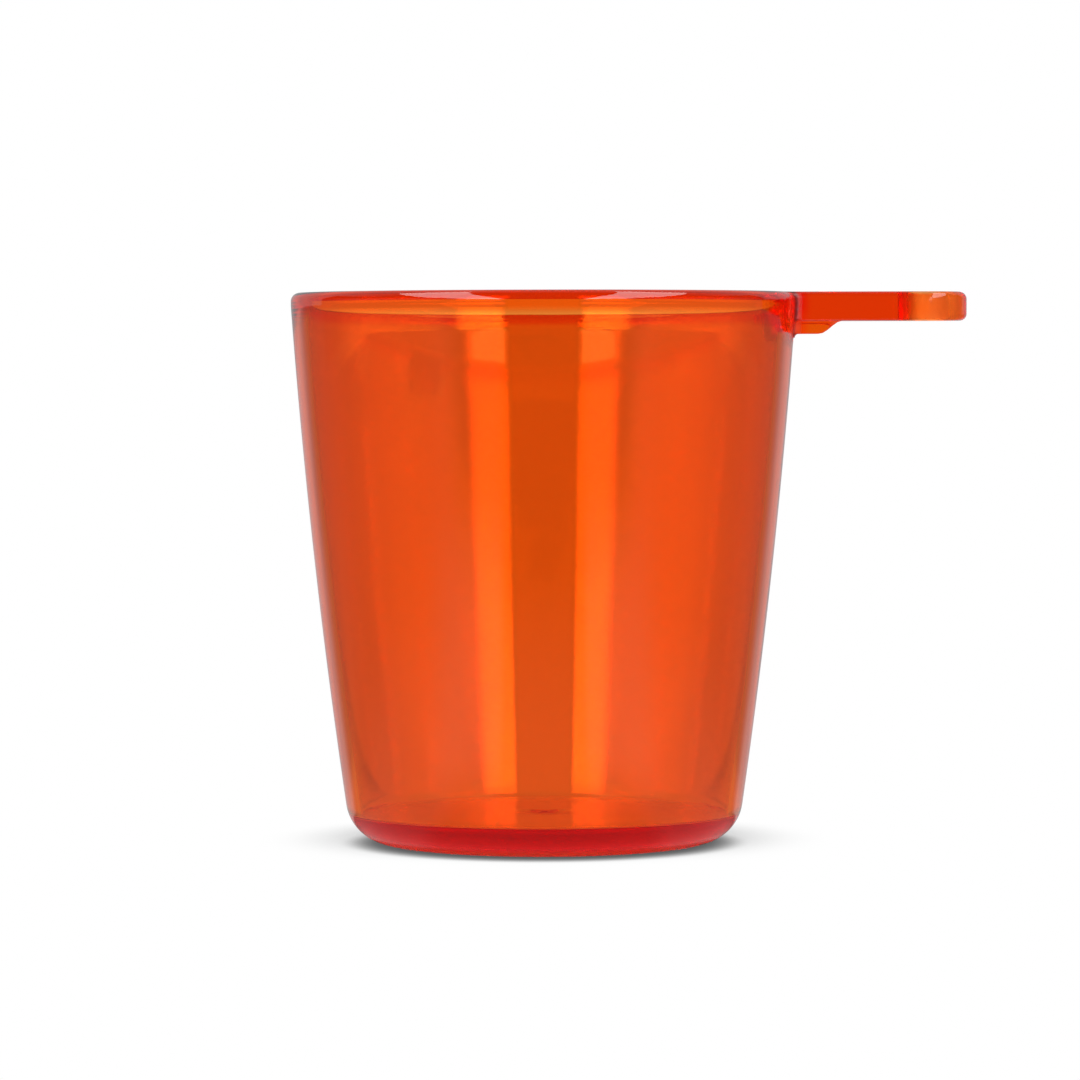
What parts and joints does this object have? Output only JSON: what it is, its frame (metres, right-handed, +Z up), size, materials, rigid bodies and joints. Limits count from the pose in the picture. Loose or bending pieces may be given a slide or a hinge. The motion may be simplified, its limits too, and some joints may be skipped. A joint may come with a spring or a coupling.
{
  "type": "drinking cup with hanging handle",
  "caption": "Rigid clear orange plastic tumbler, tapered with a rounded heel and full-round lip, and a flat hanging handle flush with its rim.",
  "frame": {"origin": "the cup's axis at the flat base that it stands on", "axes": "+Z up along the cup's axis, +X along the handle to its tip"},
  "size_m": [0.1071, 0.08, 0.0872],
  "materials": {
    "cup_plastic": "polished, see-through orange, tinted by depth",
    "handle_plastic": "polished, see-through orange, redder where it is thick"
  },
  "bodies": {
    "root": {"cup_body": "cup_plastic", "handle": "handle_plastic"}
  },
  "joints": []
}
